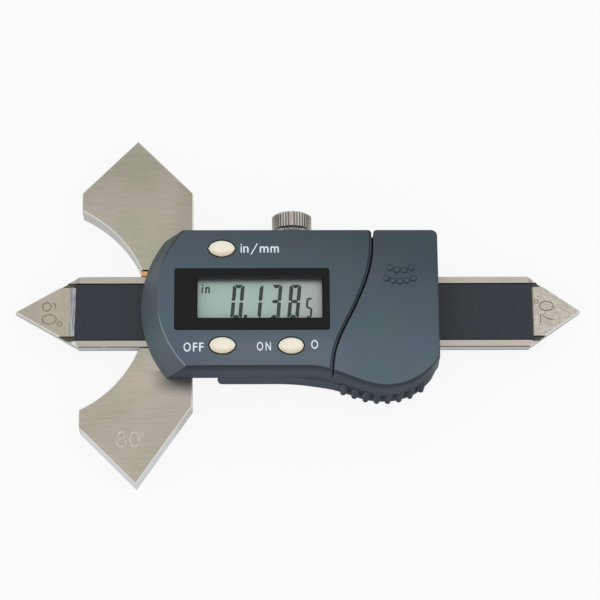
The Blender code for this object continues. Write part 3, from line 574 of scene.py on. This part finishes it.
def ivoryPlastic():
    # Smooth buttons, with painted shade low on their crowns and at their feet
    finish = newFinish("ivoryPlastic", paint(238, 231, 212), 0.30)
    finish.set(SubsurfaceWeight=0.25, SubsurfaceScale=1.0 * mm, SubsurfaceRadius=(1.0, 0.8, 0.5))
    clouds = finish.noise(0.6, detail=2.0)
    colour = finish.mix(clouds, paint(239, 231, 211), paint(249, 243, 228))
    # Painted shade on the lower side of the crowns and at the feet
    lower = finish.between(-finish.facing(1), 0.05, 0.45)
    colour = finish.over(colour, (214, 201, 172), lower * 0.7)
    top = heightOf("unit_button")
    foot = finish.until(finish.away(2), top - 0.70, top - 0.42)
    finish.set(BaseColor=finish.over(colour, (158, 143, 112), foot * 0.8))
    finish.bump(finish.noise(7.0), 0.004, 0.4)
    return finish.owner


def blackPlastic():
    # Smooth window frame, paler on its edges, with painted light on the wall above the display
    finish = newFinish("blackPlastic", paint(10, 10, 11), 0.34)
    finish.set(SpecularIORLevel=0.13)
    haze = finish.noise(0.35, detail=3.0)
    finish.set(Roughness=0.30 + haze * 0.1)
    colour = finish.mix(finish.edges(0.15) * 0.5, paint(17, 17, 18), paint(40, 41, 44))
    # Painted light on the wall above the display
    inner = finish.between(-finish.facing(1), 0.5, 0.8) * finish.band(finish.away(1), 4.0, 6.0, 0.1)
    finish.set(BaseColor=finish.over(colour, (44, 45, 52), inner * 0.8))
    return finish.owner


def scaleFilm():
    # Satin film over the scale, faintly mottled by the glue below it, with painted shade along the rails
    finish = newFinish("scaleFilm", paint(47, 50, 55), 0.5)
    finish.set(SpecularIORLevel=0.25)
    mottle = finish.noise(0.8, detail=4.0, rough=0.6)
    specks = finish.between(finish.noise(5.0, detail=1.0), 0.66, 0.74)
    colour = finish.mix(mottle, paint(34, 38, 46), paint(50, 54, 62))
    colour = finish.over(colour, (92, 96, 104), specks * 0.25)
    # Painted shade along the rails
    rail = finish.between(abs(finish.away(1)), 6.1, 6.3)
    finish.set(BaseColor=finish.over(colour, (20, 20, 22), rail * 0.8))
    finish.set(Roughness=0.42 + mottle * 0.16)
    finish.bump(mottle, 0.02, 0.4)
    return finish.owner


def clearWindow():
    # Clear sheet, faintly smeared
    finish = newFinish("clearWindow", paint(120, 132, 132), 0.06)
    smear = finish.noise(0.25, detail=3.0)
    finish.set(Alpha=0.05, Roughness=0.04 + smear * 0.06)
    finish.owner.blend_method = "BLEND"
    return finish.owner


def displayGlass():
    # Grey-green reflector of the display, greyer towards the right, with a painted shadow of the window's
    # frame along the top
    finish = newFinish("displayGlass", paint(160, 182, 172), 0.25)
    finish.set(SpecularIORLevel=0.3)
    along = finish.between(finish.away(0), 24.0, 42.0)
    haze = finish.noise(0.35, detail=3.0)
    colour = finish.mix(along, paint(177, 203, 192), paint(190, 192, 191))
    colour = finish.over(colour, (187, 203, 195), haze * 0.4)
    # Painted shadow of the window's frame along the top
    bezelShadow = finish.between(finish.away(1), 3.8, 5.35)
    finish.set(BaseColor=finish.over(colour, (58, 60, 66), bezelShadow * 0.95))
    finish.set(Roughness=0.22 + haze * 0.12)
    return finish.owner


def plainPlastic():
    # White holder of the display
    finish = newFinish("plainPlastic", paint(222, 222, 216), 0.5)
    grain = finish.noise(5.0)
    finish.set(Roughness=0.45 + grain * 0.12)
    finish.bump(grain, 0.008, 0.4)
    return finish.owner


def zebraRubber():
    # Rubber connector with fine conducting layers across it
    finish = newFinish("zebraRubber", paint(150, 92, 96), 0.6)
    layers = finish.between(finish.noise(1.0, (6.0, 0.01, 0.01), 1.0), 0.45, 0.55)
    finish.set(BaseColor=finish.mix(layers, paint(54, 48, 50), paint(166, 104, 108)))
    return finish.owner


def boardGreen():
    # Lacquered board with copper tracks showing through
    finish = newFinish("boardGreen", paint(26, 92, 62), 0.35)
    tracks = finish.noise(0.9, (1.0, 0.25, 1.0), 1.0)
    copper = finish.between(tracks, 0.48, 0.52)
    finish.set(BaseColor=finish.mix(copper, paint(22, 84, 56), paint(40, 112, 74)))
    finish.bump(tracks, 0.02, 0.4)
    return finish.owner


def blackResin():
    # Drop of resin over the chip
    finish = newFinish("blackResin", paint(26, 26, 28), 0.28)
    swell = finish.noise(1.2, detail=2.0)
    finish.set(Roughness=0.22 + swell * 0.16)
    finish.bump(swell, 0.05, 0.4)
    return finish.owner


def printInk():
    # Pale printing on the housing
    finish = newFinish("printInk", paint(232, 238, 243), 0.5)
    cover = finish.between(finish.noise(9.0, detail=2.0), 0.2, 0.45)
    finish.set(BaseColor=finish.mix(cover, paint(208, 227, 240), paint(232, 246, 253)))
    return finish.owner


def displayInk():
    # Lit segments of the display
    finish = newFinish("displayInk", paint(34, 46, 46), 0.4)
    finish.set(SpecularIORLevel=0.2)
    cloud = finish.noise(1.5)
    finish.set(BaseColor=finish.mix(cloud, paint(34, 47, 46), paint(52, 66, 63)))
    return finish.owner


def etchedDark():
    # Engraved lines darkened by grime
    finish = newFinish("etchedDark", paint(140, 130, 110), 0.6, 0.6)
    dirt = finish.noise(5.0, detail=3.0)
    finish.set(BaseColor=finish.mix(dirt, paint(122, 114, 98), paint(158, 149, 132)))
    finish.set(Alpha=finish.between(finish.noise(0.8, detail=2.0), 0.38, 0.62, 0.3, 0.92))
    return finish.owner


def etchedLight():
    # Engraved lines that catch the light
    finish = newFinish("etchedLight", paint(186, 181, 171), 0.45, 1.0)
    dirt = finish.between(finish.noise(1.1, detail=4.0), 0.35, 0.65)
    finish.set(BaseColor=finish.mix(dirt, paint(172, 166, 155), paint(200, 194, 184)))
    return finish.owner


def gluedEdge():
    # Thin film of glue that has crept out from under the scale
    finish = newFinish("gluedEdge", paint(180, 186, 194), 0.45, 0.3)
    smear = finish.noise(2.6, (1.0, 0.12, 1.0), 4.0, 0.6)
    streaks = finish.between(smear, 0.35, 0.65)
    thick = finish.between(finish.away(0), -14.9, -14.2)
    colour = finish.mix(streaks, paint(142, 143, 143), paint(176, 179, 185))
    finish.set(BaseColor=finish.mix(thick, paint(212, 204, 188), colour))
    haze = finish.between(finish.away(0), -16.6, -14.8) * 0.5
    finish.set(Alpha=finish.between(smear, 0.28, 0.6, 0.35, 0.95) * finish.larger(thick, haze))
    return finish.owner


finishes = {
    "steel": groundSteel(),
    "bright_steel": brightSteel(),
    "bronze": bronze(),
    "slate_plastic": slatePlastic(),
    "ivory_plastic": ivoryPlastic(),
    "black_plastic": blackPlastic(),
    "scale_film": scaleFilm(),
    "clear_window": clearWindow(),
    "lcd_glass": displayGlass(),
    "white_plastic": plainPlastic(),
    "zebra_rubber": zebraRubber(),
    "circuit_board": boardGreen(),
    "black_resin": blackResin(),
}
cellFinish = nickel()
screwFinish = knurledSteel()
ink = printInk()
lcdInk = displayInk()
darkMark = etchedDark()
lightMark = etchedLight()
glue = gluedEdge()
print("materials made:", len(bpy.data.materials))

# Solids whose finish isn't the one of their slot, and solids that stay flat shaded
ownFinish = {
    "button_cell": cellFinish,
    "contact_plus": cellFinish,
    "contact_minus": cellFinish,
    "lock_screw": screwFinish,
}
flatNodes = ("beam", "scale_strip", "gib_strip", "lcd_panel", "display_window", "circuit_board")
sharpAngle = 32       # degrees between two faces from which their edge stays sharp
weldReach = 0.001     # millimetres within which loose corners are joined


def shadeSmooth(solid, levelFaces):
    # Rounded stretches are shaded smooth, and large flat faces stay level
    if "custom_normal" in solid.data.attributes:
        solid.data.attributes.remove(solid.data.attributes["custom_normal"])
    solid.data.shade_smooth()
    weld = solid.modifiers.new("weld", "WELD")
    weld.merge_threshold = weldReach * mm
    split = solid.modifiers.new("split", "EDGE_SPLIT")
    split.split_angle = math.radians(sharpAngle)
    if levelFaces:
        level = solid.modifiers.new("flatFaces", "WEIGHTED_NORMAL")
        level.mode = "FACE_AREA"
        level.keep_sharp = True


for part in frame["record"]["subparts"]:
    solid = nodes[part["node"]]
    solid.data.materials.clear()
    solid.data.materials.append(ownFinish.get(part["node"], finishes[part["material_slot"]]))
    if part["node"] not in flatNodes:
        shadeSmooth(solid, part["material_slot"] in ("slate_plastic", "steel"))
print("frame finished")


def addPiece(name, mesh, finish, body):
    data = bpy.data.meshes.new(name)
    mesh.to_mesh(data)
    mesh.free()
    data.materials.append(finish)
    piece = bpy.data.objects.new(name, data)
    bpy.context.scene.collection.objects.link(piece)
    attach(piece, body)
    return piece


def plate(mesh, outline, low, high):
    # Adds an upright plate with a counter-clockwise outline in millimetres
    lower = [mesh.verts.new(spot(x, y, low)) for x, y in outline]
    upper = [mesh.verts.new(spot(x, y, high)) for x, y in outline]
    count = len(outline)
    for k in range(count):
        after = (k + 1) % count
        mesh.faces.new((lower[k], lower[after], upper[after], upper[k]))
    mesh.faces.new(list(reversed(lower)))
    mesh.faces.new(upper)


def ribbon(mesh, path, width, low, high, closed=False):
    # Adds a stroke of even width along a path of points in millimetres
    points = [Vector(point) for point in path]
    count = len(points)
    left, right = [], []
    for k in range(count):
        before = points[k - 1] if closed or k > 0 else points[k]
        after = points[(k + 1) % count] if closed or k < count - 1 else points[k]
        along = (after - before).normalized()
        across = Vector((-along.y, along.x)) * width / 2
        left.append(points[k] + across)
        right.append(points[k] - across)
    rows = [[mesh.verts.new(spot(p.x, p.y, level)) for p in side] for side, level in
            ((left, low), (right, low), (right, high), (left, high))]
    spans = count if closed else count - 1
    for k in range(spans):
        after = (k + 1) % count
        for first, second in zip(rows, rows[1:] + rows[:1]):
            mesh.faces.new((first[k], first[after], second[after], second[k]))
    if not closed:
        mesh.faces.new([row[0] for row in rows])
        mesh.faces.new([row[-1] for row in reversed(rows)])


def ellipse(x, y, halfWide, halfHigh, first=0, last=360, steps=24):
    # Points on an ellipse; a full turn leaves the last point out
    whole = last - first == 360
    turns = [math.radians(first + (last - first) * k / steps) for k in range(steps + (not whole))]
    return [(x + halfWide * math.cos(a), y + halfHigh * math.sin(a)) for a in turns]


# Display: what it reads, where each digit's middle is, and the shape of the digits in millimetres
display = {
    "digits": (("0", 22.00), ("1", 26.07), ("3", 30.15), ("8", 34.24)),
    "small": ("5", 37.42),
    "middle": 0.18,
    "smallMiddle": -1.27,
    "halfHigh": 3.78,
    "halfWide": 1.26,
    "bar": 0.80,          # width of an upright segment
    "gap": 0.18,          # half the gap between two uprights
    "corner": 0.14,
    "smallWide": 0.56,    # size of the small digit beside a large one
    "smallHigh": 0.60,
    "slant": 5.0,         # degrees
    "point": (23.72, -3.12),
    "pointSize": 0.72,
    "lift": 0.005,        # height of the digits' foot above the glass
    "thick": 0.02,
}
litSegments = {"0": "abcdef", "1": "bc", "3": "abcdg", "8": "abcdefg", "5": "acdfg"}
glassLevel = heightOf("lcd_panel") + display["lift"]


def segmentShapes():
    # Outlines of the seven segments about the digit's middle, before the slant
    high, wide, bar = display["halfHigh"], display["halfWide"], display["bar"]
    gap, corner = display["gap"], display["corner"]
    inner = wide - bar
    upright = [(inner, gap + corner), (inner + corner, gap), (wide - corner, gap), (wide, gap + corner),
               (wide, high - 0.5), (wide - 0.1, high - 0.22), (wide - 0.27, high - 0.15),
               (inner, high - 0.71)]
    cap = [(0.0, high - 0.80), (0.35, high - 0.74), (0.66, high - 0.34), (0.86, high), (-0.86, high),
           (-0.66, high - 0.34), (-0.35, high - 0.74)]

    def flip(points, x, y):
        flipped = [(px * x, py * y) for px, py in points]
        return flipped if x * y > 0 else list(reversed(flipped))

    return {
        "a": cap,
        "b": upright,
        "c": flip(upright, 1, -1),
        "d": flip(cap, 1, -1),
        "e": flip(upright, -1, -1),
        "f": flip(upright, -1, 1),
        "g": ellipse(0, 0, 0.71, 0.41, steps=12),
    }


def addDigit(mesh, digit, x, y, wide=1.0, high=1.0):
    # Adds the lit segments of a digit, leaned to the right
    lean = math.tan(math.radians(display["slant"]))
    shapes = segmentShapes()
    for segment in litSegments[digit]:
        outline = [(x + px * wide + py * high * lean, y + py * high) for px, py in shapes[segment]]
        plate(mesh, outline, glassLevel, glassLevel + display["thick"])


def makeReading():
    # Four large digits, the decimal point and a small digit
    mesh = bmesh.new()
    for digit, x in display["digits"]:
        addDigit(mesh, digit, x, display["middle"])
    digit, x = display["small"]
    addDigit(mesh, digit, x, display["smallMiddle"], display["smallWide"], display["smallHigh"])
    x, y = display["point"]
    half = display["pointSize"] / 2
    square = [(x - half, y - half), (x + half, y - half), (x + half, y + half), (x - half, y + half)]
    plate(mesh, square, glassLevel, glassLevel + display["thick"])
    return addPiece("displayDigits", mesh, lcdInk, "frame_and_housing")


makeReading()


def letterMesh(letter, slant, weight):
    # A letter as flat faces, made from Blender's own font; the stroke is drawn by itself
    if letter == "/":
        mesh = bmesh.new()
        corners = ((0.0, 0.0), (0.15, 0.0), (1.0, 1.0), (0.85, 1.0))
        mesh.faces.new([mesh.verts.new((x, y, 0.0)) for x, y in corners])
        return mesh
    curve = bpy.data.curves.new("letter", "FONT")
    curve.body = letter
    curve.shear = slant
    curve.offset = 0.0 if letter == "i" else weight
    curve.fill_mode = "FRONT"
    holder = bpy.data.objects.new("letter", curve)
    bpy.context.scene.collection.objects.link(holder)
    bpy.context.view_layer.update()
    flat = holder.evaluated_get(bpy.context.evaluated_depsgraph_get()).to_mesh()
    mesh = bmesh.new()
    mesh.from_mesh(flat)
    bpy.data.objects.remove(holder)
    bpy.data.curves.remove(curve)
    bmesh.ops.remove_doubles(mesh, verts=mesh.verts, dist=0.0001)
    return mesh


def makeWord(name, letters, level, finish, slant=0.0, weight=0.0, thick=0.02):
    # Fits each letter into its box and gives the word a small thickness
    word = bmesh.new()
    for letter, left, right, low, high in letters:
        mesh = letterMesh(letter, slant, weight)
        xs = [vertex.co.x for vertex in mesh.verts]
        ys = [vertex.co.y for vertex in mesh.verts]
        for vertex in mesh.verts:
            x = left + (vertex.co.x - min(xs)) / (max(xs) - min(xs)) * (right - left)
            y = low + (vertex.co.y - min(ys)) / (max(ys) - min(ys)) * (high - low)
            vertex.co = spot(x, y, level + thick)
        grown = bmesh.ops.extrude_face_region(mesh, geom=list(mesh.faces), use_keep_orig=True)
        lowered = [part for part in grown["geom"] if isinstance(part, bmesh.types.BMVert)]
        bmesh.ops.translate(mesh, verts=lowered, vec=(0, 0, -thick * mm))
        shape = bpy.data.meshes.new(name)
        mesh.to_mesh(shape)
        mesh.free()
        word.from_mesh(shape)
        bpy.data.meshes.remove(shape)
    bmesh.ops.recalc_face_normals(word, faces=word.faces)
    return addPiece(name, word, finish, "frame_and_housing")


# Printing on the housing: each letter with its left, right, lowest and highest place in millimetres
labels = {
    "unitWord": (("i", 22.68, 22.98, 10.60, 12.55), ("n", 23.26, 24.43, 10.60, 12.04),
                 ("/", 24.81, 26.41, 10.16, 12.66), ("m", 26.80, 28.73, 10.60, 12.04),
                 ("m", 29.12, 30.95, 10.60, 12.04)),
    "offWord": (("O", 10.50, 12.06, -11.49, -9.45), ("F", 12.50, 13.47, -11.45, -9.49),
                ("F", 13.81, 14.83, -11.45, -9.49)),
    "onWord": (("O", 26.12, 27.48, -11.31, -9.34), ("N", 27.97, 29.14, -11.27, -9.38)),
    "zeroWord": (("O", 37.70, 39.20, -10.95, -8.94),),
}
bezelRise = 0.05      # how far the window's frame stands above the housing's face
faceLevel = heightOf("window_bezel") - bezelRise
for labelName, letters in labels.items():
    makeWord(labelName, letters, faceLevel, ink, weight=0.014)
unitLetters = (("i", 14.21, 14.75, 2.04, 4.00), ("n", 15.02, 16.09, 2.04, 3.50))
makeWord("displayUnit", unitLetters, glassLevel, lcdInk, slant=0.09, weight=0.028)
print("words and digits made")

# Engraved angles: strokes in millimetres from the datum
marks = {
    "width": 0.27,
    "eightyWidth": 0.68,    # share of the width for the finer 80 degree mark
    "ringWidth": 0.8,       # share of the width for a degree ring
    "low": 0.002,
    "thick": 0.012,
    "rise": 0.002,          # keeps strokes that cross from lying at one height
}


def engraving(name, strokes, finish, body):
    # Each stroke is a path, its width and whether it closes
    mesh = bmesh.new()
    for number, (path, width, closed) in enumerate(strokes):
        ribbon(mesh, path, width, marks["low"], marks["thick"] + marks["rise"] * number, closed)
    bmesh.ops.recalc_face_normals(mesh, faces=mesh.faces)
    return addPiece(name, mesh, finish, body)


def makeSixty():
    # Reads from the tip side: the figures' tops point along the beam
    width = marks["width"]
    fine = width * marks["ringWidth"]
    loop = ellipse(-19.52, 1.20, 0.94, 0.95)
    tail = ellipse(-19.30, 1.25, 1.72, 1.10, 55, -28, 10)
    zero = ellipse(-18.95, -1.66, 1.52, 1.08)
    ring = ellipse(-16.68, -2.70, 0.50, 0.46, steps=16)
    strokes = [(loop, width, True), (tail, width, False), (zero, width, True), (ring, fine, True)]
    return engraving("sixtyMark", strokes, darkMark, "beam")


def makeSeventy():
    # Reads from the other tip: the figures' tops point back along the beam
    width = marks["width"]
    fine = width * marks["ringWidth"]
    zero = ellipse(89.57, 1.18, 1.52, 1.06)
    ring = ellipse(87.32, 2.24, 0.40, 0.38, steps=16)
    seven = [(88.19, -2.70), (88.17, -0.62), (89.3, -1.35), (91.05, -2.05)]
    strokes = [(zero, width, True), (ring, fine, True), (seven, width, False)]
    return engraving("seventyMark", strokes, darkMark, "beam")


def makeEighty():
    # Upright, finer and paler, on the low wing
    width = marks["width"] * marks["eightyWidth"]
    fine = width * marks["ringWidth"]
    upper = ellipse(-2.92, -27.55, 0.72, 0.72)
    lower = ellipse(-2.92, -29.17, 0.98, 0.88)
    zero = ellipse(-0.12, -28.45, 0.98, 1.62)
    ring = ellipse(1.50, -27.30, 0.38, 0.42, steps=16)
    strokes = [(upper, width, True), (lower, width, True), (zero, width, True), (ring, fine, True)]
    return engraving("eightyMark", strokes, lightMark, "frame_and_housing")


makeSixty()
makeSeventy()
makeEighty()


# Film of glue at the scale's left end; places are in millimetres from the datum
film = {
    "left": -16.7,
    "right": -13.34,
    "rightSlope": 0.015,
    "halfHigh": 5.45,
    "waves": ((0.10, 1.9), (0.05, 5.3)),    # depth and pace of each wave of its left edge
    "steps": 24,
    "clear": 0.02,                          # keeps it off the end face of the scale
    "low": 0.002,
    "high": 0.015,
}


def makeGlueEdge():
    # Uneven film between the scale's left end and the bare point, which also covers that end
    mesh = bmesh.new()
    scaleTop = heightOf("scale_strip")
    scaleEnd = (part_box("scale_strip")[0].x - datum.x) / mm - film["clear"]
    steps = film["steps"]
    ys = [film["halfHigh"] * (2 * k / steps - 1) for k in range(steps + 1)]
    waves = [sum(depth * math.sin(pace * y) for depth, pace in film["waves"]) for y in ys]
    left = [(film["left"] + wave, y) for wave, y in zip(waves, ys)]
    end = [(scaleEnd, y) for y in ys]
    right = [(film["right"] + film["rightSlope"] * y, y) for y in ys]
    plate(mesh, list(reversed(left)) + end, film["low"], film["high"])
    plate(mesh, list(reversed(end)) + right, scaleTop + film["low"], scaleTop + film["high"])
    bmesh.ops.recalc_face_normals(mesh, faces=mesh.faces)
    return addPiece("glueEdge", mesh, glue, "beam")


makeGlueEdge()


plusSign = {"long": 1.5, "wide": 0.5, "sunk": 0.01, "raised": 0.05}


def makeCellMark():
    # Raised plus sign on the button cell; the second half of its outline is the first turned half round
    low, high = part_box("button_cell")
    middle = ((low + high) / 2 - datum) / mm
    top = heightOf("button_cell")
    arm, bar = plusSign["long"] / 2, plusSign["wide"] / 2
    half = [(bar, -arm), (bar, -bar), (arm, -bar), (arm, bar), (bar, bar), (bar, arm)]
    outline = [(middle.x + x, middle.y + y) for x, y in half + [(-x, -y) for x, y in half]]
    mesh = bmesh.new()
    plate(mesh, outline, top - plusSign["sunk"], top + plusSign["raised"])
    bmesh.ops.recalc_face_normals(mesh, faces=mesh.faces)
    return addPiece("cellPlusSign", mesh, cellFinish, "frame_and_housing")


makeCellMark()
print("engraved marks and small detail made")

# Camera, floor and light; places and sizes are in metres, turns in degrees
cameraView = {
    "place": (-0.012341, -0.146157, 0.507692),
    "turn": (16.478, -1.300, -0.489),
    "lens": 143.54,         # the lens and the sensor are in millimetres
    "sensor": 36,
    "near": 0.01,
    "far": 20,
}
room = {
    "floor": 3.0,
    "floorDrop": 0.00001,   # keeps the floor off the flat underside
    "floorColour": 0.75,
    "whiteness": 0.88,      # share of plain white in what the camera sees of the floor
    "sky": 0.74,
}
softbox = {"place": (0.08, -0.22, 0.90), "long": 1.2, "deep": 0.8, "power": 2.4, "turn": 20.0}
white = (1.0, 1.0, 1.0, 1.0)


def makeCamera():
    data = bpy.data.cameras.new("camera")
    data.lens = cameraView["lens"]
    data.sensor_width = cameraView["sensor"]
    data.clip_start, data.clip_end = cameraView["near"], cameraView["far"]
    camera = bpy.data.objects.new("camera", data)
    camera.location = cameraView["place"]
    camera.rotation_euler = [math.radians(angle) for angle in cameraView["turn"]]
    bpy.context.scene.collection.objects.link(camera)
    bpy.context.scene.camera = camera


def seenWhite(graph):
    # 1 for the camera and for what metal and glass show, 0 for light on the object
    seen = graph.node("LightPath", output="Is Camera Ray")
    for kind in ("Is Glossy Ray", "Is Transmission Ray"):
        seen = graph.larger(seen, graph.node("LightPath", output=kind))
    return seen


def makeFloor():
    # Pale floor that takes the soft shadows and is close to white for the camera
    mesh = bmesh.new()
    bmesh.ops.create_grid(mesh, x_segments=1, y_segments=1, size=room["floor"] / 2)
    data = bpy.data.meshes.new("floor")
    mesh.to_mesh(data)
    mesh.free()
    floor = bpy.data.objects.new("floor", data)
    floor.location.z = -room["floorDrop"]
    bpy.context.scene.collection.objects.link(floor)
    graph = Graph(bpy.data.materials.new("paleFloor"))
    level = room["floorColour"]
    matte = graph.node("BsdfDiffuse", None, {"Color": (level, level, level, 1.0)})
    glow = graph.node("Emission", None, {"Color": white, "Strength": 1.0})
    mixed = graph.node("MixShader", None, {0: seenWhite(graph) * room["whiteness"], 1: matte, 2: glow})
    graph.feed(graph.tree.nodes["Material Output"], "Surface", mixed)
    data.materials.append(graph.owner)


def makeSky():
    # Even light from all around, seen as white
    world = bpy.data.worlds.new("studio")
    bpy.context.scene.world = world
    graph = Graph(world)
    soft = graph.node("Background", None, {"Color": white, "Strength": room["sky"]})
    full = graph.node("Background", None, {"Color": white, "Strength": 1.0})
    mixed = graph.node("MixShader", None, {0: seenWhite(graph), 1: soft, 2: full})
    graph.feed(graph.tree.nodes["World Output"], "Surface", mixed)


def makeSoftbox():
    data = bpy.data.lights.new("softbox", "AREA")
    data.shape = "RECTANGLE"
    data.size, data.size_y = softbox["long"], softbox["deep"]
    data.energy = softbox["power"]
    light = bpy.data.objects.new("softbox", data)
    light.location = softbox["place"]
    light.rotation_euler.z = math.radians(softbox["turn"])
    bpy.context.scene.collection.objects.link(light)


makeCamera()
makeFloor()
makeSky()
makeSoftbox()
bpy.context.scene.view_settings.view_transform = "Standard"
print("camera, floor and light made")
